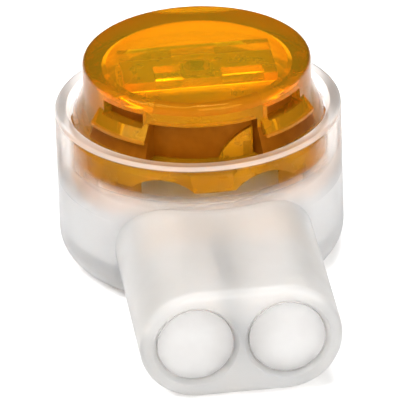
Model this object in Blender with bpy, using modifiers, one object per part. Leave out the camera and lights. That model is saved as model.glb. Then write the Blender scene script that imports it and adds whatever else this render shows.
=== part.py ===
"""Two-wire push-button splice connector, made of four pieces.

Frame: metres, +Z up along the button's travel. The origin is on the barrel's axis in the
plane of its base, and the snout with the two wire ports points along -Y.
"""

import math

import bmesh
import bpy

MM = 0.001
MERGE = 1e-7
ROUND_STEPS = 72
BORE_STEPS = 40

# Barrel of the body
BARREL_R = 5.0 * MM
RIM_Z = 5.65 * MM
RIM_ROUND = 0.12 * MM
BASE_ROUND = 1.1 * MM
CHAMBER_R = 4.5 * MM
BEAD_R = 4.46 * MM
BEAD_LOW_Z = 5.2 * MM
BEAD_HIGH_Z = 5.4 * MM
LEAD_IN_R = 4.6 * MM
MOAT_R = 3.65 * MM
MOAT_Z = 1.1 * MM

# Snout and wire ports
SNOUT_R = 1.97 * MM
SNOUT_HALF = 1.48 * MM
SNOUT_FRONT_Y = -10.95 * MM
SNOUT_BACK_Y = -3.0 * MM
SNOUT_ROUND = 0.28 * MM
AXIS_Z = 2.07 * MM
PORT_X = 1.56 * MM
PORT_R = 1.31 * MM
PORT_CHAMFER = 0.16 * MM
PORT_END_Y = 3.3 * MM

# Button
CAP_R = 3.98 * MM
CAP_TOP_Z = 7.5 * MM
CAP_ROUND = 0.22 * MM
HOLLOW_R = 3.3 * MM
HOLLOW_TOP_Z = 7.0 * MM
HOLDER_X = 2.65 * MM
HOLDER_Y = 1.3 * MM
HOLDER_LOW_Z = 6.7 * MM
FLARE_Z = 6.35 * MM
LEDGE_Z = 5.5 * MM
SKIRT_R = 4.38 * MM
SKIRT_LOW_Z = 3.2 * MM
SKIRT_IN_R = 3.75 * MM
ARCH_Z = 4.45 * MM
ARCH_HALF = 3.3 * MM
ARCH_R = 1.4 * MM
ARCH_X = 1.75 * MM
ARCH_AXIS_Z = 3.5 * MM
ARCH_IN_Y = 2.9 * MM
RECESS_R = 3.6 * MM
RECESS_LOW_Z = 5.3 * MM
RECESS_HIGH_Z = 6.7 * MM
RECESS_MIDDLE = -4
RECESS_WIDTH = 56
LATCH_ANGLES = (43, -48)
LATCH_WIDTH = 34
LATCH_R = 4.36 * MM
LATCH_LOW_Z = 6.05 * MM
LATCH_LIP = 0.12 * MM
LATCH_ROOT_R = 3.8 * MM
LATCH_TOP_Z = 6.75 * MM
POCKET_LOW_Z = 6.52 * MM
POCKET_TOP_Z = 7.02 * MM
POCKET_R = 3.66 * MM
POCKET_WIDTH = 26
TEETH_ANGLES = (101, -101)
TEETH_WIDTH = 24
TOOTH_ROOT_R = 4.05 * MM
POST_R = 0.45 * MM
POST_LOW_Z = 5.8 * MM

# Contact, a U of tin-plated brass strip
STRIP = 0.3 * MM
CONTACT_HALF = 2.7 * MM
LEG_Y = 1.1 * MM
CONTACT_TOP_Z = 6.62 * MM
CONTACT_LOW_Z = 3.4 * MM
STRIP_BEND = 0.25 * MM
SLOT_WIDTH = 0.34 * MM
SLOT_TOP_Z = 4.6 * MM
LEAD_WIDTH = 1.3 * MM
LEAD_HEIGHT = 0.55 * MM
POST_HOLE_R = 0.6 * MM
LEG_POCKET = 0.55 * MM
LEG_POCKET_Z = 1.4 * MM
LEG_POCKET_HALF = 3.05 * MM

# Sealant gel
GEL_R = 3.55 * MM
GEL_LOW_Z = 2.15 * MM
GEL_TOP_Z = 3.1 * MM
GEL_ROUND = 0.25 * MM
GEL_PLUG_R = 1.27 * MM
GEL_FRONT_Y = -10.45 * MM
GEL_END_Y = 3.2 * MM


def clear_scene():
    for obj in list(bpy.data.objects):
        bpy.data.objects.remove(obj, do_unlink=True)


def new_collection(name):
    collection = bpy.data.collections.new(name)
    bpy.context.scene.collection.children.link(collection)
    return collection


def make_material(name, color, roughness, metallic=0.0):
    material = bpy.data.materials.new(name)
    material.use_nodes = True
    shader = material.node_tree.nodes["Principled BSDF"]
    shader.inputs["Base Color"].default_value = (*color, 1.0)
    shader.inputs["Roughness"].default_value = roughness
    shader.inputs["Metallic"].default_value = metallic
    return material


def add_object(name, mesh, collection):
    obj = bpy.data.objects.new(name, mesh)
    collection.objects.link(obj)
    return obj


def arc(center_r, center_z, radius, start, stop, steps):
    """Points (r, z) on an arc, angles in degrees from +r towards +z."""
    points = []
    for step in range(steps + 1):
        angle = math.radians(start + (stop - start) * step / steps)
        points.append((center_r + radius * math.cos(angle), center_z + radius * math.sin(angle)))
    return points


def turned(name, profile, collection, steps=ROUND_STEPS):
    """A solid of revolution about the object's own Z. The profile runs from top to bottom."""
    mesh = bpy.data.meshes.new(name)
    shape = bmesh.new()
    corners = [shape.verts.new((radius, 0.0, height)) for radius, height in profile]
    for first, second in zip(corners, corners[1:]):
        shape.edges.new((first, second))
    shape.to_mesh(mesh)
    shape.free()
    obj = add_object(name, mesh, collection)
    screw = obj.modifiers.new("Turn", "SCREW")
    screw.steps = steps
    screw.render_steps = steps
    screw.use_merge_vertices = True
    screw.merge_threshold = MERGE
    return obj


def plate(name, outline, thickness, collection):
    """A flat outline in the XY plane with a thickness along Z, centred on it."""
    curve = bpy.data.curves.new(name, "CURVE")
    curve.dimensions = "2D"
    curve.fill_mode = "BOTH"
    curve.extrude = thickness / 2
    spline = curve.splines.new("POLY")
    spline.points.add(len(outline) - 1)
    for point, (x, y) in zip(spline.points, outline):
        point.co = (x, y, 0.0, 1.0)
    spline.use_cyclic_u = True
    guide = add_object(name + "_outline", curve, collection)
    graph = bpy.context.evaluated_depsgraph_get()
    mesh = bpy.data.meshes.new_from_object(guide.evaluated_get(graph))
    bpy.data.objects.remove(guide, do_unlink=True)
    shape = bmesh.new()
    shape.from_mesh(mesh)
    bmesh.ops.remove_doubles(shape, verts=shape.verts, dist=MERGE)
    bmesh.ops.recalc_face_normals(shape, faces=shape.faces)
    shape.to_mesh(mesh)
    shape.free()
    mesh.name = name
    return add_object(name, mesh, collection)


def box(name, low, high, collection):
    mesh = bpy.data.meshes.new(name)
    shape = bmesh.new()
    bmesh.ops.create_cube(shape, size=1.0)
    for vertex in shape.verts:
        for axis in range(3):
            vertex.co[axis] = low[axis] if vertex.co[axis] < 0 else high[axis]
    shape.to_mesh(mesh)
    shape.free()
    return add_object(name, mesh, collection)


def rod(name, radius, start, end, collection, steps=BORE_STEPS):
    """A cylinder between two points that lie on one line parallel to Y or Z."""
    mesh = bpy.data.meshes.new(name)
    length = math.dist(start, end)
    shape = bmesh.new()
    bmesh.ops.create_cone(
        shape, cap_ends=True, segments=steps, radius1=radius, radius2=radius, depth=length
    )
    shape.to_mesh(mesh)
    shape.free()
    obj = add_object(name, mesh, collection)
    obj.location = [(a + b) / 2 for a, b in zip(start, end)]
    if start[1] != end[1]:
        obj.rotation_euler[0] = math.radians(90)
    return obj


def combine(obj, other, operation):
    modifier = obj.modifiers.new(other.name, "BOOLEAN")
    modifier.object = other
    modifier.operation = operation
    modifier.solver = "EXACT"
    other.hide_render = True
    other.display_type = "WIRE"


def round_edges(obj, width, segments=3):
    bevel = obj.modifiers.new("Round", "BEVEL")
    bevel.width = width
    bevel.segments = segments
    bevel.limit_method = "ANGLE"
    bevel.angle_limit = math.radians(50)


def smooth(obj):
    obj.data.shade_smooth()
    obj.data.set_sharp_from_angle(angle=math.radians(35))


def stadium(half_width, radius, steps=14):
    """Outline of a slot shape: two half circles joined by straight sides."""
    points = []
    for side, start in ((half_width, -90), (-half_width, 90)):
        for step in range(steps + 1):
            angle = math.radians(start + 180 * step / steps)
            points.append((side + radius * math.cos(angle), radius * math.sin(angle)))
    return points


def barrel_profile():
    shoulder = arc(BARREL_R - RIM_ROUND, RIM_Z - RIM_ROUND, RIM_ROUND, 90, 0, 3)
    foot = arc(BARREL_R - BASE_ROUND, BASE_ROUND, BASE_ROUND, 0, -90, 7)
    return [(0.0, RIM_Z)] + shoulder + foot + [(0.0, 0.0)]


def chamber_profile():
    above = RIM_Z + BASE_ROUND
    return [
        (0.0, above),
        (LEAD_IN_R, above),
        (LEAD_IN_R, RIM_Z),
        (BEAD_R, BEAD_HIGH_Z),
        (BEAD_R, BEAD_LOW_Z),
        (CHAMBER_R, BEAD_LOW_Z - 0.1 * MM),
        (CHAMBER_R, MOAT_Z),
        (MOAT_R, MOAT_Z),
        (MOAT_R, AXIS_Z),
        (0.0, AXIS_Z),
    ]


def port_profile():
    """Wire channel along the cutter's own Z, with its chamfered mouth at the top."""
    mouth = -SNOUT_FRONT_Y
    return [
        (0.0, mouth + PORT_R),
        (PORT_R + PORT_CHAMFER, mouth + PORT_R),
        (PORT_R + PORT_CHAMFER, mouth),
        (PORT_R, mouth - PORT_CHAMFER),
        (PORT_R, -PORT_END_Y),
        (0.0, -PORT_END_Y),
    ]


def make_body_shell(parts, cutters):
    body = turned("body_shell", barrel_profile(), parts)
    length = SNOUT_BACK_Y - SNOUT_FRONT_Y
    snout = plate("snout", stadium(SNOUT_HALF, SNOUT_R), length, cutters)
    snout.location = (0.0, (SNOUT_BACK_Y + SNOUT_FRONT_Y) / 2, AXIS_Z)
    snout.rotation_euler[0] = math.radians(90)
    round_edges(snout, SNOUT_ROUND)
    combine(body, snout, "UNION")
    combine(body, turned("chamber", chamber_profile(), cutters), "DIFFERENCE")
    for side, label in ((-1, "left"), (1, "right")):
        port = turned("port_" + label, port_profile(), cutters, BORE_STEPS)
        port.location = (side * PORT_X, 0.0, AXIS_Z)
        port.rotation_euler[0] = math.radians(90)
        combine(body, port, "DIFFERENCE")
    for side, label in ((-1, "front"), (1, "rear")):
        middle = side * (LEG_Y - STRIP / 2)
        low = (-LEG_POCKET_HALF, middle - LEG_POCKET / 2, LEG_POCKET_Z)
        high = (LEG_POCKET_HALF, middle + LEG_POCKET / 2, AXIS_Z + STRIP)
        combine(body, box("leg_pocket_" + label, low, high, cutters), "DIFFERENCE")
    smooth(body)
    body.data.materials.append(make_material("clear_polypropylene", (0.86, 0.85, 0.84), 0.3))


def button_profile():
    edge = arc(CAP_R - CAP_ROUND, CAP_TOP_Z - CAP_ROUND, CAP_ROUND, 90, 0, 5)
    return [(0.0, CAP_TOP_Z)] + edge + [
        (CAP_R, FLARE_Z),
        (SKIRT_R - 0.06 * MM, LEDGE_Z),
        (SKIRT_R, LEDGE_Z - 0.1 * MM),
        (SKIRT_R, SKIRT_LOW_Z),
        (SKIRT_IN_R, SKIRT_LOW_Z),
        (SKIRT_IN_R, ARCH_Z),
        (HOLLOW_R, ARCH_Z),
        (HOLLOW_R, HOLLOW_TOP_Z),
        (0.0, HOLLOW_TOP_Z),
    ]


def sector(name, corners, middle, width, collection):
    """Part of a turned ring: its (r, z) corners, its middle's angle from -Y and its width in degrees."""
    start = math.radians(middle - width / 2 - 90)
    mesh = bpy.data.meshes.new(name)
    shape = bmesh.new()
    flat = [(r * math.cos(start), r * math.sin(start), z) for r, z in corners]
    shape.faces.new([shape.verts.new(corner) for corner in flat])
    bmesh.ops.spin(
        shape,
        geom=shape.verts[:] + shape.edges[:] + shape.faces[:],
        cent=(0, 0, 0),
        axis=(0, 0, 1),
        angle=math.radians(width),
        steps=max(4, round(width / 5)),
        use_merge=False,
    )
    bmesh.ops.recalc_face_normals(shape, faces=shape.faces[:])
    shape.to_mesh(mesh)
    shape.free()
    return add_object(name, mesh, collection)


def block(inner, outer, low, high):
    """The (r, z) corners of a ring with a rectangular section."""
    return [(inner, low), (outer, low), (outer, high), (inner, high)]


def add_latches(button, cutters):
    """Ramps that lean out to a flat catch, each under a pocket in the cap's wall."""
    pocket = block(POCKET_R, BARREL_R, POCKET_LOW_Z, POCKET_TOP_Z)
    ramp = [
        (LATCH_ROOT_R, LATCH_LOW_Z),
        (LATCH_R, LATCH_LOW_Z),
        (LATCH_R, LATCH_LOW_Z + LATCH_LIP),
        (LATCH_ROOT_R, LATCH_TOP_Z + LATCH_LIP),
    ]
    for angle in LATCH_ANGLES:
        place = str(angle % 360)
        combine(button, sector("latch_" + place, ramp, angle, LATCH_WIDTH, cutters), "UNION")
        combine(button, sector("pocket_" + place, pocket, angle, POCKET_WIDTH, cutters), "DIFFERENCE")


def cut_teeth(button, cutters):
    """Two notches down each side of the skirt, which leave a row of catches with sloping undersides."""
    beyond = SKIRT_R + 0.1 * MM
    root = TOOTH_ROOT_R
    upper = [(root, 4.86 * MM), (beyond, 4.7 * MM), (beyond, 5.26 * MM), (root, 5.2 * MM)]
    lower = [(root, 3.4 * MM), (beyond, 3.4 * MM), (beyond, 4.5 * MM), (root, 3.6 * MM)]
    for angle in TEETH_ANGLES:
        place = str(angle % 360)
        combine(button, sector("upper_notch_" + place, upper, angle, TEETH_WIDTH, cutters), "DIFFERENCE")
        combine(button, sector("lower_notch_" + place, lower, angle, TEETH_WIDTH, cutters), "DIFFERENCE")


def cut_arches(button, cutters):
    """Room over the wires at the front and the rear of the skirt."""
    for side, label in ((-1, "front"), (1, "rear")):
        ends = sorted((side * ARCH_IN_Y, side * BARREL_R))
        low = (-ARCH_HALF, ends[0], SKIRT_LOW_Z - STRIP)
        high = (ARCH_HALF, ends[1], ARCH_Z)
        combine(button, box("arch_" + label, low, high, cutters), "DIFFERENCE")
        for x, place in ((-ARCH_X, "left"), (ARCH_X, "right")):
            start = (x, ends[0], ARCH_AXIS_Z)
            end = (x, ends[1], ARCH_AXIS_Z)
            wire_arch = rod(f"wire_arch_{label}_{place}", ARCH_R, start, end, cutters)
            combine(button, wire_arch, "DIFFERENCE")


def make_button(parts, cutters):
    button = turned("button", button_profile(), parts)
    add_latches(button, cutters)
    recess = block(RECESS_R, BARREL_R, RECESS_LOW_Z, RECESS_HIGH_Z)
    combine(button, sector("front_recess", recess, RECESS_MIDDLE, RECESS_WIDTH, cutters), "DIFFERENCE")
    cut_teeth(button, cutters)
    cut_arches(button, cutters)
    low = (-HOLDER_X, -HOLDER_Y, HOLDER_LOW_Z)
    high = (HOLDER_X, HOLDER_Y, HOLLOW_TOP_Z + STRIP / 2)
    combine(button, box("contact_holder", low, high, cutters), "UNION")
    start = (0.0, 0.0, POST_LOW_Z)
    end = (0.0, 0.0, HOLLOW_TOP_Z)
    combine(button, rod("contact_post", POST_R, start, end, cutters, 24), "UNION")
    smooth(button)
    button.data.materials.append(make_material("amber_polycarbonate", (0.8, 0.36, 0.02), 0.2))


def contact_outline():
    """The U seen from its end: (y, z) points down one outer side and back up the inner side."""
    bend = arc(LEG_Y - STRIP_BEND, CONTACT_TOP_Z - STRIP_BEND, STRIP_BEND, 0, 90, 4)
    inner = [(LEG_Y - STRIP, CONTACT_TOP_Z - STRIP), (LEG_Y - STRIP, CONTACT_LOW_Z)]
    half = inner + [(LEG_Y, CONTACT_LOW_Z)] + bend
    return half + [(-y, z) for y, z in reversed(half)]


def fork_outline(center):
    """The slot that grips one wire, with its flared mouth, as (x, z) points."""
    rise = CONTACT_LOW_Z + LEAD_HEIGHT
    below = CONTACT_LOW_Z - STRIP
    half = [(LEAD_WIDTH / 2, below), (LEAD_WIDTH / 2, CONTACT_LOW_Z)]
    half += [(SLOT_WIDTH / 2, rise), (SLOT_WIDTH / 2, SLOT_TOP_Z)]
    left = [(center - x, z) for x, z in reversed(half)]
    return [(center + x, z) for x, z in half] + left


def make_contact(parts, cutters):
    contact = plate("contact", contact_outline(), 2 * CONTACT_HALF, parts)
    contact.rotation_euler = (math.radians(90), 0.0, math.radians(90))
    for center, label in ((-PORT_X, "left"), (PORT_X, "right")):
        fork = plate("fork_" + label, fork_outline(center), 3 * LEG_Y, cutters)
        fork.rotation_euler[0] = math.radians(90)
        combine(contact, fork, "DIFFERENCE")
    start = (0.0, 0.0, CONTACT_TOP_Z - 2 * STRIP)
    end = (0.0, 0.0, CONTACT_TOP_Z + STRIP)
    combine(contact, rod("post_hole", POST_HOLE_R, start, end, cutters, 24), "DIFFERENCE")
    smooth(contact)
    contact.data.materials.append(make_material("tin_plated_brass", (0.62, 0.58, 0.52), 0.3, 1.0))


def make_gel(parts, cutters):
    """The filling of the chamber and of both wire channels, just clear of the walls around it."""
    top = arc(GEL_R - GEL_ROUND, GEL_TOP_Z - GEL_ROUND, GEL_ROUND, 90, 0, 3)
    profile = [(0.0, GEL_TOP_Z)] + top + [(GEL_R, GEL_LOW_Z), (0.0, GEL_LOW_Z)]
    gel = turned("sealant_gel", profile, parts, BORE_STEPS)
    for x, label in ((-PORT_X, "left"), (PORT_X, "right")):
        start = (x, GEL_FRONT_Y, AXIS_Z)
        plug = rod("gel_plug_" + label, GEL_PLUG_R, start, (x, GEL_END_Y, AXIS_Z), cutters)
        combine(gel, plug, "UNION")
    smooth(gel)
    gel.data.materials.append(make_material("clear_gel", (0.8, 0.82, 0.84), 0.1))


def main():
    clear_scene()
    parts = new_collection("splice_connector")
    cutters = new_collection("cutters")
    make_body_shell(parts, cutters)
    make_button(parts, cutters)
    make_contact(parts, cutters)
    make_gel(parts, cutters)


main()
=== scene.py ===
"""Clear two-wire splice connector with its amber button raised, on a pale floor."""

import math

import bmesh
import bpy
from mathutils import Matrix, Vector


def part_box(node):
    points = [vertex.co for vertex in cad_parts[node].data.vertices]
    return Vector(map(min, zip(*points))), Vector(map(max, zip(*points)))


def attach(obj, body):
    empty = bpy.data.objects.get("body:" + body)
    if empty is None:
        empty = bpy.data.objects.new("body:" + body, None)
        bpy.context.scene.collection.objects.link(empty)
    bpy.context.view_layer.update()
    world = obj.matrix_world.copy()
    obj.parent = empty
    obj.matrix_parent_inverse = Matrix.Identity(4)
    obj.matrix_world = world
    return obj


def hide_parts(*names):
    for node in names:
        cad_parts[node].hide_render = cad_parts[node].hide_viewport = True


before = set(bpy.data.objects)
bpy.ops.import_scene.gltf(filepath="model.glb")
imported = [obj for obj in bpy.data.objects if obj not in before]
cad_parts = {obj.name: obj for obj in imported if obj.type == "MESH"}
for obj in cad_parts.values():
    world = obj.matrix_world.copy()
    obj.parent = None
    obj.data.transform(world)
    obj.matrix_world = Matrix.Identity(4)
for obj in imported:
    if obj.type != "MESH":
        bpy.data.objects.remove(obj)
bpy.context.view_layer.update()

MM = 0.001
MERGE = 1e-7

shell_low, shell_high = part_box("body_shell")
button_low, button_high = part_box("button")
contact_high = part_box("contact")[1]
gel_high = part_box("sealant_gel")[1]

# Barrel and snout of the body
BARREL_R = shell_high[0]
RIM_Z = shell_high[2]
FRONT_Y = shell_low[1]
BASE_ROUND = 1.1 * MM
RIM_ROUND = 0.12 * MM
CHAMBER_R = 4.62 * MM
BEAD_R = 4.46 * MM
LEAD_IN_R = 4.6 * MM
MOAT_R = 3.65 * MM
MOAT_Z = 1.1 * MM
SNOUT_R = 1.97 * MM
SNOUT_HALF = 1.48 * MM
SNOUT_BACK_Y = -3.0 * MM
SNOUT_ROUND = 0.28 * MM
AXIS_Z = 2.07 * MM
PORT_X = 1.56 * MM
PORT_R = 1.31 * MM
PORT_CHAMFER = 0.16 * MM
PORT_END_Y = 3.3 * MM
LEG_POCKET = 0.55 * MM
LEG_POCKET_Z = 1.4 * MM
LEG_POCKET_HALF = 3.05 * MM

GEL_LINE_Z = 3.4 * MM
FROST_Z = 2.4 * MM

# Sealant gel
GEL_R = 3.55 * MM
GEL_ROUND = 0.25 * MM
GEL_DIP = 0.06 * MM
GEL_LOW_Z = 2.15 * MM
GEL_PLUG_R = 1.3 * MM
GEL_FRONT_Y = -10.8 * MM
GEL_END_Y = 3.2 * MM

# Button
TOP_Z = button_high[2]
CAP_R = 3.98 * MM
CAP_ROUND = 0.22 * MM
HOLLOW_R = 3.3 * MM
HOLLOW_TOP_Z = 7.0 * MM
HOLDER_X = 2.65 * MM
HOLDER_Y = 1.3 * MM
HOLDER_LOW_Z = 6.7 * MM
HOLDER_POCKETS = ((-0.8, 0.7, 0.6, 1.1), (-1.55, -0.6, -1.0, -0.1), (0.75, 2.2, -1.1, -0.6))
FLARE_Z = 6.35 * MM
LEDGE_Z = 5.5 * MM
SKIRT_R = 4.38 * MM
SKIRT_FOOT_R = 4.54 * MM
SKIRT_FOOT_Z = 4.95 * MM
SKIRT_LOW_Z = button_low[2]
SKIRT_IN_R = 3.75 * MM
ARCH_Z = 4.45 * MM
ARCH_HALF = 3.3 * MM
ARCH_R = 1.4 * MM
ARCH_X = 1.75 * MM
ARCH_AXIS_Z = 3.5 * MM
RECESS_R = 3.6 * MM
RECESS_LOW_Z = 5.3 * MM
RECESS_HIGH_Z = 6.7 * MM
RECESS_MIDDLE = -4
RECESS_WIDTH = 56
TONGUE_R = 1.6 * MM
TONGUE_Z = 4.75 * MM
LATCH_ANGLES = (43, -48)
LATCH_WIDTH = 34
LATCH_R = 4.36 * MM
LATCH_ROOT_R = 3.8 * MM
LATCH_LIP = 0.12 * MM
LATCH_LOW_Z = 6.05 * MM
LATCH_TOP_Z = 6.75 * MM
POCKET_LOW_Z = 6.52 * MM
POCKET_TOP_Z = 7.02 * MM
POCKET_R = 3.66 * MM
POCKET_WIDTH = 26
TEETH_ANGLES = (101, -101)
TEETH_WIDTH = 30
POST_R = 0.45 * MM
POST_LOW_Z = 5.8 * MM

# Contact
STRIP = 0.3 * MM
LEG_Y = contact_high[1]


def arc(center_r, center_z, radius, start, stop, steps):
    """Points (r, z) on an arc, angles in degrees from +r towards +z."""
    angles = [math.radians(start + (stop - start) * step / steps) for step in range(steps + 1)]
    return [(center_r + radius * math.cos(a), center_z + radius * math.sin(a)) for a in angles]


def turned(profile, steps=160):
    """A closed shape spun about Z from a profile of (r, z) points that starts and ends on the axis."""
    shape = bmesh.new()
    corners = [shape.verts.new((radius, 0.0, height)) for radius, height in profile]
    for first, second in zip(corners, corners[1:]):
        shape.edges.new((first, second))
    bmesh.ops.spin(
        shape, geom=shape.verts[:] + shape.edges[:], cent=(0, 0, 0), axis=(0, 0, 1),
        angle=math.tau, steps=steps, use_merge=True, use_duplicate=False,
    )
    bmesh.ops.remove_doubles(shape, verts=shape.verts[:], dist=MERGE)
    bmesh.ops.recalc_face_normals(shape, faces=shape.faces[:])
    return shape


def box_shape(low, high):
    shape = bmesh.new()
    bmesh.ops.create_cube(shape, size=1.0)
    size = Vector(high) - Vector(low)
    bmesh.ops.scale(shape, vec=size, verts=shape.verts[:])
    bmesh.ops.translate(shape, vec=(Vector(high) + Vector(low)) / 2, verts=shape.verts[:])
    return shape


def rod_shape(radius, start, end, steps=64):
    """A cylinder between two points."""
    start, end = Vector(start), Vector(end)
    shape = bmesh.new()
    bmesh.ops.create_cone(
        shape, cap_ends=True, segments=steps, radius1=radius, radius2=radius,
        depth=(end - start).length,
    )
    turn = (end - start).to_track_quat("Z", "Y").to_matrix().to_4x4()
    bmesh.ops.transform(shape, matrix=Matrix.Translation((start + end) / 2) @ turn, verts=shape.verts[:])
    return shape


def sector_shape(corners, middle, width, steps=24):
    """Part of a turned ring: its (r, z) corners, its middle's angle from -Y and its width in degrees."""
    start = math.radians(middle - width / 2 - 90)
    shape = bmesh.new()
    verts = [shape.verts.new((r * math.cos(start), r * math.sin(start), z)) for r, z in corners]
    shape.faces.new(verts)
    bmesh.ops.spin(
        shape, geom=shape.verts[:] + shape.edges[:] + shape.faces[:], cent=(0, 0, 0), axis=(0, 0, 1),
        angle=math.radians(width), steps=steps, use_merge=False, use_duplicate=False,
    )
    bmesh.ops.recalc_face_normals(shape, faces=shape.faces[:])
    return shape


def block(inner, outer, low, high):
    """The (r, z) corners of a ring with a rectangular section."""
    return [(inner, low), (outer, low), (outer, high), (inner, high)]


def to_object(name, shape):
    mesh = bpy.data.meshes.new(name)
    shape.to_mesh(mesh)
    shape.free()
    obj = bpy.data.objects.new(name, mesh)
    bpy.context.scene.collection.objects.link(obj)
    return obj


def carve(obj, steps):
    """Adds or cuts each shape in turn, and leaves one plain mesh."""
    helpers = []
    for index, (operation, shape) in enumerate(steps):
        other = to_object(f"{obj.name}_step_{index}", shape)
        helpers.append(other)
        modifier = obj.modifiers.new(f"step_{index}", "BOOLEAN")
        modifier.object = other
        modifier.operation = operation
        modifier.solver = "EXACT"
    apply_modifiers(obj)
    for other in helpers:
        bpy.data.objects.remove(other, do_unlink=True)


def apply_modifiers(obj):
    graph = bpy.context.evaluated_depsgraph_get()
    mesh = bpy.data.meshes.new_from_object(obj.evaluated_get(graph))
    obj.modifiers.clear()
    obj.data = mesh
    mesh.name = obj.name


def smooth(obj, angle=35):
    obj.data.shade_smooth()
    obj.data.set_sharp_from_angle(angle=math.radians(angle))


def snout_shape():
    """A bar with round ends, with its front edge rounded."""
    shape = bmesh.new()
    bmesh.ops.create_circle(shape, cap_ends=True, segments=96, radius=SNOUT_R)
    bmesh.ops.rotate(shape, matrix=Matrix.Rotation(math.pi / 96, 3, "Z"), verts=shape.verts[:])
    for side in (-1, 1):
        half = [v for v in shape.verts if v.co.x * side > 0]
        bmesh.ops.translate(shape, vec=(side * SNOUT_HALF, 0, 0), verts=half)
    grown = bmesh.ops.extrude_face_region(shape, geom=shape.faces[:])
    moved = [item for item in grown["geom"] if isinstance(item, bmesh.types.BMVert)]
    bmesh.ops.translate(shape, vec=(0, 0, SNOUT_BACK_Y - FRONT_Y), verts=moved)
    front = [e for e in shape.edges if all(v.co.z < MM / 10 for v in e.verts)]
    bmesh.ops.bevel(
        shape, geom=front, offset=SNOUT_ROUND, offset_type="OFFSET", segments=6, profile=0.5,
        affect="EDGES", material=-1,
    )
    bmesh.ops.recalc_face_normals(shape, faces=shape.faces[:])
    turn = Matrix.Rotation(math.radians(-90), 4, "X")
    bmesh.ops.transform(shape, matrix=Matrix.Translation((0, FRONT_Y, AXIS_Z)) @ turn, verts=shape.verts[:])
    return shape


def chamber_shape():
    above = RIM_Z + BASE_ROUND
    return turned([
        (0.0, above),
        (LEAD_IN_R, above),
        (LEAD_IN_R, RIM_Z),
        (BEAD_R, RIM_Z - 0.25 * MM),
        (BEAD_R, RIM_Z - 0.45 * MM),
        (CHAMBER_R, RIM_Z - 0.55 * MM),
        (CHAMBER_R, GEL_LINE_Z),
        (CHAMBER_R, MOAT_Z + 0.2 * MM),
        (CHAMBER_R - 0.2 * MM, MOAT_Z),
        (MOAT_R, MOAT_Z),
        (MOAT_R, AXIS_Z),
        (0.0, AXIS_Z),
    ])


def port_place(side):
    """Lays a shape turned about Z along one wire channel, with its top towards -Y."""
    return Matrix.Translation((side * PORT_X, 0, AXIS_Z)) @ Matrix.Rotation(math.radians(90), 4, "X")


def port_shape(side):
    mouth = -FRONT_Y
    shape = turned([
        (0.0, mouth + PORT_R),
        (PORT_R + PORT_CHAMFER, mouth + PORT_R),
        (PORT_R + PORT_CHAMFER, mouth),
        (PORT_R + PORT_CHAMFER * 0.3, mouth - PORT_CHAMFER * 0.7),
        (PORT_R, mouth - PORT_CHAMFER * 1.6),
        (PORT_R, -PORT_END_Y),
        (0.0, -PORT_END_Y),
    ], 96)
    bmesh.ops.transform(shape, matrix=port_place(side), verts=shape.verts[:])
    return shape


def leg_pocket_shape(side):
    middle = side * (LEG_Y - STRIP / 2)
    low = (-LEG_POCKET_HALF, middle - LEG_POCKET / 2, LEG_POCKET_Z)
    high = (LEG_POCKET_HALF, middle + LEG_POCKET / 2, AXIS_Z + STRIP)
    return box_shape(low, high)


def make_body():
    shoulder = arc(BARREL_R - RIM_ROUND, RIM_Z - RIM_ROUND, RIM_ROUND, 90, 0, 5)
    foot = arc(BARREL_R - BASE_ROUND, BASE_ROUND, BASE_ROUND, 0, -90, 14)
    side = [(BARREL_R, FROST_Z)]
    body = to_object("clear_body", turned([(0.0, RIM_Z)] + shoulder + side + foot + [(0.0, 0.0)]))
    carve(body, [
        ("UNION", snout_shape()),
        ("DIFFERENCE", chamber_shape()),
        ("DIFFERENCE", port_shape(-1)),
        ("DIFFERENCE", port_shape(1)),
        ("DIFFERENCE", leg_pocket_shape(-1)),
        ("DIFFERENCE", leg_pocket_shape(1)),
    ])
    smooth(body)
    body.data.materials.append(body_plastic())
    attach(body, "housing")
    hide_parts("body_shell")
    return body


def latch_shape(angle):
    """A ramp that leans out towards a flat catch at its lower edge."""
    ramp = [
        (LATCH_ROOT_R, LATCH_LOW_Z),
        (LATCH_R, LATCH_LOW_Z),
        (LATCH_R, LATCH_LOW_Z + LATCH_LIP),
        (LATCH_ROOT_R, LATCH_TOP_Z + LATCH_LIP),
    ]
    return sector_shape(ramp, angle, LATCH_WIDTH)


def teeth_cuts(angle):
    """Two notches down the skirt's side that leave a row of catches, each with a sloping underside."""
    beyond = SKIRT_FOOT_R + 0.1 * MM
    upper = [(4.05 * MM, 4.98 * MM), (beyond, 4.78 * MM), (beyond, 5.32 * MM), (4.05 * MM, 5.3 * MM)]
    lower = [(4.05 * MM, 3.4 * MM), (beyond, 3.4 * MM), (beyond, 4.5 * MM), (4.05 * MM, 3.6 * MM)]
    return [("DIFFERENCE", sector_shape(cut, angle, TEETH_WIDTH)) for cut in (upper, lower)]


def button_profile():
    edge = arc(CAP_R - CAP_ROUND, TOP_Z - CAP_ROUND, CAP_ROUND, 90, 0, 8)
    return [(0.0, TOP_Z)] + edge + [
        (CAP_R, FLARE_Z),
        (SKIRT_R - 0.06 * MM, LEDGE_Z),
        (SKIRT_R, LEDGE_Z - 0.1 * MM),
        (SKIRT_R, SKIRT_FOOT_Z + 0.15 * MM),
        (SKIRT_FOOT_R, SKIRT_FOOT_Z),
        (SKIRT_FOOT_R, SKIRT_LOW_Z),
        (SKIRT_IN_R, SKIRT_LOW_Z),
        (SKIRT_IN_R, ARCH_Z),
        (HOLLOW_R, ARCH_Z),
        (HOLLOW_R, HOLLOW_TOP_Z - 0.15 * MM),
        (HOLLOW_R - 0.15 * MM, HOLLOW_TOP_Z),
        (0.0, HOLLOW_TOP_Z),
    ]


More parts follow.
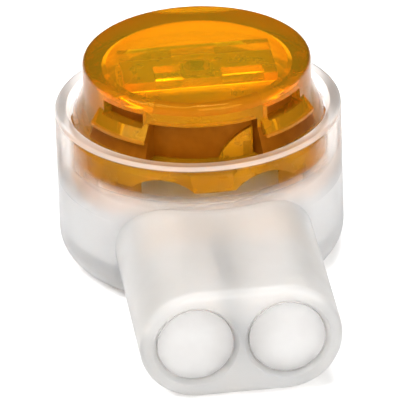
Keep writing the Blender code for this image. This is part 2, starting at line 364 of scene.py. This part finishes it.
def button_steps():
    pocket = block(POCKET_R, BARREL_R, POCKET_LOW_Z, POCKET_TOP_Z)
    recess = block(RECESS_R, BARREL_R, RECESS_LOW_Z, RECESS_HIGH_Z)
    steps = []
    for angle in LATCH_ANGLES:
        steps.append(("UNION", latch_shape(angle)))
        steps.append(("DIFFERENCE", sector_shape(pocket, angle, POCKET_WIDTH)))
    steps.append(("DIFFERENCE", sector_shape(recess, RECESS_MIDDLE, RECESS_WIDTH)))
    for angle in TEETH_ANGLES:
        steps += teeth_cuts(angle)
    for side in (-1, 1):
        ends = sorted((side * 2.9 * MM, side * BARREL_R))
        low = (-ARCH_HALF, ends[0], SKIRT_LOW_Z - STRIP)
        steps.append(("DIFFERENCE", box_shape(low, (ARCH_HALF, ends[1], ARCH_Z))))
        for x in (-ARCH_X, ARCH_X):
            start = (x, ends[0], ARCH_AXIS_Z)
            steps.append(("DIFFERENCE", rod_shape(ARCH_R, start, (x, ends[1], ARCH_AXIS_Z))))
    holder_high = (HOLDER_X, HOLDER_Y, HOLLOW_TOP_Z + STRIP / 2)
    steps.append(("UNION", box_shape((-HOLDER_X, -HOLDER_Y, HOLDER_LOW_Z), holder_high)))
    for left, right, front, back in HOLDER_POCKETS:
        low = (left * MM, front * MM, HOLDER_LOW_Z - 0.1 * MM)
        steps.append(("DIFFERENCE", box_shape(low, (right * MM, back * MM, HOLLOW_TOP_Z - 0.05 * MM))))
    steps.append(("UNION", rod_shape(POST_R, (0, 0, POST_LOW_Z), (0, 0, HOLLOW_TOP_Z))))
    return steps


def tongue_shape():
    """The round end of a wire guide, standing out a little in the front recess."""
    ring = block(RECESS_R - 0.1 * MM, RECESS_R + 0.15 * MM, RECESS_LOW_Z, RECESS_HIGH_Z - 0.15 * MM)
    tongue = to_object("wire_guide", sector_shape(ring, 9.5, 27))
    end = rod_shape(TONGUE_R, (ARCH_X, 0, TONGUE_Z), (ARCH_X, -BARREL_R, TONGUE_Z))
    carve(tongue, [("INTERSECT", end)])
    shape = bmesh.new()
    shape.from_mesh(tongue.data)
    bpy.data.objects.remove(tongue, do_unlink=True)
    return shape


def in_shade(point):
    """Whether a face gets the painted shade: it lies in the recess, in the hollow's chamfer, in a latch's
    pocket, or under a latch.
    """
    angle = math.degrees(math.atan2(point.x, -point.y))
    radius = math.hypot(point.x, point.y)
    at_recess = abs(angle - RECESS_MIDDLE) < RECESS_WIDTH / 2
    if at_recess and RECESS_LOW_Z < point.z < RECESS_HIGH_Z + 0.01 * MM:
        wall = abs(radius - RECESS_R) < 0.03 * MM
        return wall or point.z > RECESS_HIGH_Z - 0.01 * MM and radius > RECESS_R
    chamfer = HOLLOW_R - 0.14 * MM < radius < HOLLOW_R - 0.01 * MM
    if chamfer and HOLLOW_TOP_Z - 0.14 * MM < point.z < HOLLOW_TOP_Z:
        return abs(angle) < 34
    near_latch = min(abs(angle - middle) for middle in LATCH_ANGLES)
    if near_latch < POCKET_WIDTH / 2 and abs(radius - POCKET_R) < 0.03 * MM:
        return POCKET_LOW_Z < point.z < POCKET_TOP_Z
    under = radius > CAP_R and LEDGE_Z < point.z < LATCH_LOW_Z + 0.01 * MM
    return under and near_latch < LATCH_WIDTH / 2 + 3


def on_skirt(point):
    return point.z < LEDGE_Z - 0.05 * MM and math.hypot(point.x, point.y) > HOLLOW_R + 0.1 * MM


def make_button():
    button = to_object("amber_button", turned(button_profile()))
    carve(button, button_steps() + [("UNION", tongue_shape())])
    smooth(button)
    for finish in (amber_plastic(), painted_shade_amber(), skirt_amber_painted_shade()):
        button.data.materials.append(finish)
    # Faces in the recess, the chamfer's front, the latch pockets and under the latches get the painted shade;
    # the skirt's faces get the skirt's darker tone, also painted shade.
    for face in button.data.polygons:
        if in_shade(face.center):
            face.material_index = 1
        elif on_skirt(face.center):
            face.material_index = 2
    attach(button, "plunger")
    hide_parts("button")


def make_gel():
    """Sealant in the chamber and in both wire channels, hollowed a little where it meets the air."""
    edge = arc(GEL_R - GEL_ROUND, gel_high[2] - GEL_ROUND, GEL_ROUND, 90, 0, 5)
    profile = [(0.0, gel_high[2] - GEL_DIP)] + edge + [(GEL_R, GEL_LOW_Z), (0.0, GEL_LOW_Z)]
    gel = to_object("gel_fill", turned(profile))
    plugs = []
    for side in (-1, 1):
        plug = turned([
            (0.0, -GEL_FRONT_Y - GEL_DIP),
            (GEL_PLUG_R * 0.6, -GEL_FRONT_Y - GEL_DIP * 0.7),
            (GEL_PLUG_R * 0.9, -GEL_FRONT_Y - GEL_DIP * 0.2),
            (GEL_PLUG_R, -GEL_FRONT_Y),
            (GEL_PLUG_R, -GEL_END_Y),
            (0.0, -GEL_END_Y),
        ], 64)
        bmesh.ops.transform(plug, matrix=port_place(side), verts=plug.verts[:])
        plugs.append(("UNION", plug))
    carve(gel, plugs)
    smooth(gel)
    gel.data.materials.append(clear_gel())
    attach(gel, "housing")
    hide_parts("sealant_gel")


def material(name):
    made = bpy.data.materials.new(name)
    made.use_nodes = True
    return made, made.node_tree, made.node_tree.nodes["Principled BSDF"]


def absorb(tree, color, density):
    """Tints light by the length of its way through the plastic."""
    volume = tree.nodes.new("ShaderNodeVolumeAbsorption")
    volume.inputs["Color"].default_value = (*color, 1)
    volume.inputs["Density"].default_value = density
    tree.links.new(volume.outputs["Volume"], tree.nodes["Material Output"].inputs["Volume"])


def height_ramp(tree, low, high, below, above, axis="Z"):
    """A value that goes from below to above as the place on an axis goes from low to high."""
    place = tree.nodes.new("ShaderNodeTexCoord")
    split = tree.nodes.new("ShaderNodeSeparateXYZ")
    ramp = tree.nodes.new("ShaderNodeMapRange")
    ramp.interpolation_type = "SMOOTHSTEP"
    ramp.inputs["From Min"].default_value = low
    ramp.inputs["From Max"].default_value = high
    ramp.inputs["To Min"].default_value = below
    ramp.inputs["To Max"].default_value = above
    tree.links.new(place.outputs["Object"], split.inputs["Vector"])
    tree.links.new(split.outputs[axis], ramp.inputs["Value"])
    return ramp.outputs["Result"]


def radius_ramp(tree, low, high, inside, outside):
    """A value that goes from inside to outside as the distance from the Z axis goes from low to high."""
    place = tree.nodes.new("ShaderNodeTexCoord")
    flat = tree.nodes.new("ShaderNodeVectorMath")
    flat.operation = "MULTIPLY"
    flat.inputs[1].default_value = (1, 1, 0)
    length = tree.nodes.new("ShaderNodeVectorMath")
    length.operation = "LENGTH"
    ramp = tree.nodes.new("ShaderNodeMapRange")
    ramp.inputs["From Min"].default_value = low
    ramp.inputs["From Max"].default_value = high
    ramp.inputs["To Min"].default_value = inside
    ramp.inputs["To Max"].default_value = outside
    tree.links.new(place.outputs["Object"], flat.inputs[0])
    tree.links.new(flat.outputs["Vector"], length.inputs[0])
    tree.links.new(length.outputs["Value"], ramp.inputs["Value"])
    return ramp.outputs["Result"]


def blend(tree, factor, first, second):
    """A colour between two, each of which is a colour or another node's output."""
    mix = tree.nodes.new("ShaderNodeMix")
    mix.data_type = "RGBA"
    tree.links.new(factor, mix.inputs["Factor"])
    for name, color in (("A", first), ("B", second)):
        socket = [item for item in mix.inputs if item.name == name and item.type == "RGBA"][0]
        if isinstance(color, tuple):
            socket.default_value = (*color, 1)
        else:
            tree.links.new(color, socket)
    return [item for item in mix.outputs if item.type == "RGBA"][0]


def mottle(tree, scale):
    """Soft cloudy variation between 0 and 1."""
    place = tree.nodes.new("ShaderNodeTexCoord")
    noise = tree.nodes.new("ShaderNodeTexNoise")
    noise.inputs["Scale"].default_value = scale
    noise.inputs["Detail"].default_value = 3
    spread = tree.nodes.new("ShaderNodeMapRange")
    spread.inputs["From Min"].default_value = 0.35
    spread.inputs["From Max"].default_value = 0.65
    tree.links.new(place.outputs["Object"], noise.inputs["Vector"])
    tree.links.new(noise.outputs["Fac"], spread.inputs["Value"])
    return spread.outputs["Result"]


def moulded_surface():
    """Group: the slight unevenness of a moulded or stamped surface, as a roughness and a normal."""
    group = bpy.data.node_groups.new("moulded_surface", "ShaderNodeTree")
    for name in ("Scale", "Smooth", "Rough", "Depth"):
        group.interface.new_socket(name, in_out="INPUT", socket_type="NodeSocketFloat")
    group.interface.new_socket("Roughness", in_out="OUTPUT", socket_type="NodeSocketFloat")
    group.interface.new_socket("Normal", in_out="OUTPUT", socket_type="NodeSocketVector")
    given = group.nodes.new("NodeGroupInput")
    result = group.nodes.new("NodeGroupOutput")
    place = group.nodes.new("ShaderNodeTexCoord")
    noise = group.nodes.new("ShaderNodeTexNoise")
    noise.inputs["Detail"].default_value = 4
    spread = group.nodes.new("ShaderNodeMapRange")
    spread.inputs["From Min"].default_value = 0.3
    spread.inputs["From Max"].default_value = 0.7
    bump = group.nodes.new("ShaderNodeBump")
    bump.inputs["Distance"].default_value = 0.05 * MM
    group.links.new(place.outputs["Object"], noise.inputs["Vector"])
    group.links.new(given.outputs["Scale"], noise.inputs["Scale"])
    group.links.new(noise.outputs["Fac"], spread.inputs["Value"])
    group.links.new(given.outputs["Smooth"], spread.inputs["To Min"])
    group.links.new(given.outputs["Rough"], spread.inputs["To Max"])
    group.links.new(noise.outputs["Fac"], bump.inputs["Height"])
    group.links.new(given.outputs["Depth"], bump.inputs["Strength"])
    group.links.new(spread.outputs["Result"], result.inputs["Roughness"])
    group.links.new(bump.outputs["Normal"], result.inputs["Normal"])
    return group


SURFACE = moulded_surface()


def add_surface(tree, shader, smooth_value, rough_value, depth, scale=900.0):
    node = tree.nodes.new("ShaderNodeGroup")
    node.node_tree = SURFACE
    for name, value in (("Scale", scale), ("Smooth", smooth_value), ("Rough", rough_value), ("Depth", depth)):
        node.inputs[name].default_value = value
    tree.links.new(node.outputs["Roughness"], shader.inputs["Roughness"])
    tree.links.new(node.outputs["Normal"], shader.inputs["Normal"])
    return node


def join(tree, operation, first, second):
    node = tree.nodes.new("ShaderNodeMath")
    node.operation = operation
    tree.links.new(first, node.inputs[0])
    tree.links.new(second, node.inputs[1])
    return node.outputs["Value"]


def body_plastic():
    """Polypropylene that is clear high on the barrel's wall and milky below and on the rim."""
    made, tree, milky = material("natural_polypropylene")
    # Painted light: a warm glow mixed into the milky colour high on the body and away from the snout's front,
    # standing in for the amber's light shining into it.
    glow = join(
        tree, "MULTIPLY",
        height_ramp(tree, -8.2 * MM, -6.3 * MM, 0.0, 1.0, "Y"),
        height_ramp(tree, 3.2 * MM, 3.9 * MM, 0.0, 0.5),
    )
    snout = blend(tree, mottle(tree, 350.0), (0.78, 0.75, 0.715), (0.85, 0.825, 0.8))
    plain = blend(tree, radius_ramp(tree, 4.9 * MM, 5.6 * MM, 0.0, 1.0), (0.92, 0.905, 0.89), snout)
    tree.links.new(blend(tree, glow, plain, (0.9, 0.74, 0.62)), milky.inputs["Base Color"])
    surface = add_surface(tree, milky, 0.3, 0.42, 0.15, 600.0)
    milky.inputs["IOR"].default_value = 1.25
    milky.inputs["Transmission Weight"].default_value = 0.7
    milky.inputs["Subsurface Weight"].default_value = 1.0
    milky.inputs["Subsurface Radius"].default_value = (1, 0.95, 0.9)
    milky.inputs["Subsurface Scale"].default_value = 2 * MM
    clear = tree.nodes.new("ShaderNodeBsdfPrincipled")
    clear.inputs["Base Color"].default_value = (0.97, 0.965, 0.96, 1)
    clear.inputs["IOR"].default_value = 1.04
    clear.inputs["Transmission Weight"].default_value = 1.0
    tree.links.new(height_ramp(tree, 2.6 * MM, 4.0 * MM, 0.4, 0.03), clear.inputs["Roughness"])
    tree.links.new(surface.outputs["Normal"], clear.inputs["Normal"])
    front = join(
        tree, "MAXIMUM",
        height_ramp(tree, 3.9 * MM, 4.5 * MM, 0.0, 1.0),
        height_ramp(tree, -3.9 * MM, -1.0 * MM, 0.0, 1.0, "Y"),
    )
    heights = join(tree, "MULTIPLY", height_ramp(tree, 2.6 * MM, 3.8 * MM, 0.0, 0.99), front)
    edge = join(
        tree, "MAXIMUM",
        height_ramp(tree, RIM_Z - 0.17 * MM, RIM_Z - 0.08 * MM, 1.0, 0.0),
        height_ramp(tree, -4.2 * MM, -2.5 * MM, 0.75, 0.2, "Y"),
    )
    edge = join(tree, "MULTIPLY", edge, join(
        tree, "MAXIMUM",
        height_ramp(tree, RIM_Z - 0.14 * MM, RIM_Z - 0.1 * MM, 1.0, 0.0),
        radius_ramp(tree, BARREL_R - 0.14 * MM, BARREL_R - 0.08 * MM, 1.0, 0.1),
    ))
    barrel = radius_ramp(tree, BARREL_R + 0.01 * MM, BARREL_R + 0.12 * MM, 1.0, 0.0)
    clearness = join(tree, "MULTIPLY", join(tree, "MULTIPLY", heights, edge), barrel)
    slant = tree.nodes.new("ShaderNodeLayerWeight")
    haze = tree.nodes.new("ShaderNodeMapRange")
    haze.interpolation_type = "SMOOTHSTEP"
    haze.inputs["From Min"].default_value = 0.4
    haze.inputs["From Max"].default_value = 0.95
    haze.inputs["To Min"].default_value = 1.0
    haze.inputs["To Max"].default_value = 0.25
    tree.links.new(slant.outputs["Facing"], haze.inputs["Value"])
    clearness = join(tree, "MULTIPLY", clearness, haze.outputs["Result"])
    mix = tree.nodes.new("ShaderNodeMixShader")
    tree.links.new(clearness, mix.inputs["Fac"])
    tree.links.new(milky.outputs["BSDF"], mix.inputs[1])
    tree.links.new(clear.outputs["BSDF"], mix.inputs[2])
    tree.links.new(mix.outputs["Shader"], tree.nodes["Material Output"].inputs["Surface"])
    absorb(tree, (0.94, 0.928, 0.915), 300)
    return made


def amber_plastic():
    """Tinted polycarbonate, its tint painted lighter and yellower in the cap's middle and orange at its wall
    for the light through thin and thick amber, and darker down the skirt as painted shade.
    """
    made, tree, shader = material("amber_polycarbonate")
    # Painted light and shade: a yellower middle, an orange wall, and a darker skirt lower down.
    outward = radius_ramp(tree, 2.2 * MM, 3.8 * MM, 0.0, 1.0)
    upward = height_ramp(tree, 4.8 * MM, 5.9 * MM, 0.0, 1.0)
    cap = blend(tree, outward, (0.94, 0.62, 0.02), (0.93, 0.42, 0.013))
    skirt = blend(tree, upward, (0.66, 0.31, 0.01), cap)
    tree.links.new(skirt, shader.inputs["Base Color"])
    add_surface(tree, shader, 0.04, 0.1, 0.03, 500.0)
    shader.inputs["IOR"].default_value = 1.25
    shader.inputs["Specular Tint"].default_value = (1.0, 0.7, 0.1, 1)
    shader.inputs["Transmission Weight"].default_value = 0.85
    absorb(tree, (0.97, 0.82, 0.02), 1500)
    return made


def skirt_amber_painted_shade():
    """The skirt's plastic, with its surface wet by the gel around it and its tone darkened as painted shade.
    """
    made, tree, shader = material("amber_skirt")
    tone = blend(tree, mottle(tree, 450.0), (0.5, 0.215, 0.005), (0.64, 0.3, 0.008))
    tree.links.new(tone, shader.inputs["Base Color"])
    add_surface(tree, shader, 0.08, 0.16, 0.03, 500.0)
    shader.inputs["IOR"].default_value = 1.08
    shader.inputs["Specular Tint"].default_value = (1.0, 0.7, 0.1, 1)
    shader.inputs["Transmission Weight"].default_value = 0.65
    absorb(tree, (0.97, 0.82, 0.02), 1500)
    return made


def painted_shade_amber():
    """Painted shade: a dark, streaked amber for the textured walls of the recess and of the latches, which
    light hardly reaches.
    """
    made, tree, shader = material("amber_in_shade")
    streaks = tree.nodes.new("ShaderNodeTexNoise")
    streaks.inputs["Scale"].default_value = 2500
    streaks.inputs["Detail"].default_value = 3
    place = tree.nodes.new("ShaderNodeTexCoord")
    tree.links.new(place.outputs["Object"], streaks.inputs["Vector"])
    tone = blend(tree, streaks.outputs["Fac"], (0.2, 0.045, 0.001), (0.36, 0.1, 0.003))
    tree.links.new(tone, shader.inputs["Base Color"])
    add_surface(tree, shader, 0.3, 0.5, 0.3)
    shader.inputs["IOR"].default_value = 1.25
    shader.inputs["Specular Tint"].default_value = (1.0, 0.7, 0.1, 1)
    shader.inputs["Transmission Weight"].default_value = 0.55
    absorb(tree, (0.97, 0.82, 0.02), 1500)
    return made


def tin_plate():
    made, tree, shader = material("tin_plated_strip")
    shader.inputs["Base Color"].default_value = (0.7, 0.66, 0.6, 1)
    add_surface(tree, shader, 0.22, 0.38, 0.2, 1500.0)
    shader.inputs["Metallic"].default_value = 1.0
    return made


def clear_gel():
    made, tree, shader = material("sealant_gel")
    tone = blend(tree, mottle(tree, 500.0), (0.6, 0.585, 0.57), (0.68, 0.67, 0.66))
    tree.links.new(tone, shader.inputs["Base Color"])
    add_surface(tree, shader, 0.12, 0.22, 0.3, 500.0)
    shader.inputs["IOR"].default_value = 1.3
    shader.inputs["Transmission Weight"].default_value = 0.5
    shader.inputs["Subsurface Weight"].default_value = 1.0
    shader.inputs["Subsurface Radius"].default_value = (1, 1, 1)
    shader.inputs["Subsurface Scale"].default_value = 2 * MM
    return made


def pale_floor():
    made, tree, shader = material("pale_floor")
    shader.inputs["Base Color"].default_value = (0.95, 0.95, 0.95, 1)
    shader.inputs["Roughness"].default_value = 0.9
    return made


def aim(obj, direction_back, roll=0.0):
    """Points an object's -Z against direction_back, then rolls it about its own axis."""
    turn = direction_back.to_track_quat("Z", "Y").to_matrix()
    obj.matrix_world = Matrix.Translation(obj.location) @ (turn @ Matrix.Rotation(roll, 3, "Z")).to_4x4()


def make_camera():
    azimuth, elevation, roll = math.radians(-6.42), math.radians(28.0), math.radians(-1.85)
    distance = 220 * MM
    view_width = 14.1143 * MM
    back = Vector((
        math.sin(azimuth) * math.cos(elevation),
        -math.cos(azimuth) * math.cos(elevation),
        math.sin(elevation),
    ))
    camera = bpy.data.objects.new("camera", bpy.data.cameras.new("camera"))
    bpy.context.scene.collection.objects.link(camera)
    camera.data.sensor_width = 36
    camera.data.lens = 36 * distance / view_width
    camera.data.clip_start = 0.01
    camera.location = back * distance
    aim(camera, back, roll)
    right = camera.matrix_world.to_3x3() @ Vector((1, 0, 0))
    up = camera.matrix_world.to_3x3() @ Vector((0, 1, 0))
    camera.location = back * distance - right * 0.0882 * MM + up * 1.5667 * MM
    aim(camera, back, roll)
    bpy.context.scene.camera = camera


def add_area(name, location, size, power, color=(1, 1, 1)):
    light = bpy.data.objects.new(name, bpy.data.lights.new(name, "AREA"))
    bpy.context.scene.collection.objects.link(light)
    light.data.size = size
    light.data.energy = power
    light.data.color = color
    light.location = location
    aim(light, Vector(location).normalized())


def make_stage():
    shape = bmesh.new()
    bmesh.ops.create_grid(shape, x_segments=1, y_segments=1, size=0.5)
    floor = to_object("floor", shape)
    floor.location.z = -0.02 * MM
    floor.data.materials.append(pale_floor())
    world = bpy.data.worlds.new("studio")
    world.use_nodes = True
    tree = world.node_tree
    place = tree.nodes.new("ShaderNodeTexCoord")
    facing = tree.nodes.new("ShaderNodeVectorMath")
    facing.operation = "DOT_PRODUCT"
    facing.inputs[1].default_value = (0.1, 0.876, 0.472)
    card = tree.nodes.new("ShaderNodeMapRange")
    card.interpolation_type = "SMOOTHSTEP"
    card.inputs["From Min"].default_value = 0.7
    card.inputs["From Max"].default_value = 0.9
    card.inputs["To Min"].default_value = 1.0
    card.inputs["To Max"].default_value = 0.03
    tree.links.new(place.outputs["Generated"], facing.inputs[0])
    tree.links.new(facing.outputs["Value"], card.inputs["Value"])
    tree.links.new(card.outputs["Result"], tree.nodes["Background"].inputs["Strength"])
    bpy.context.scene.world = world
    bpy.context.scene.view_settings.view_transform = "Standard"
    add_area("key", (-0.1, -0.05, 0.16), 0.14, 0.5)
    add_area("front", (0.05, -0.18, 0.07), 0.14, 0.65)
    add_area("top", (0.02, 0.0, 0.2), 0.06, 0.25)


make_camera()
make_stage()
make_body()
make_button()
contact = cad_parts["contact"]
contact.data.materials.clear()
contact.data.materials.append(tin_plate())
make_gel()
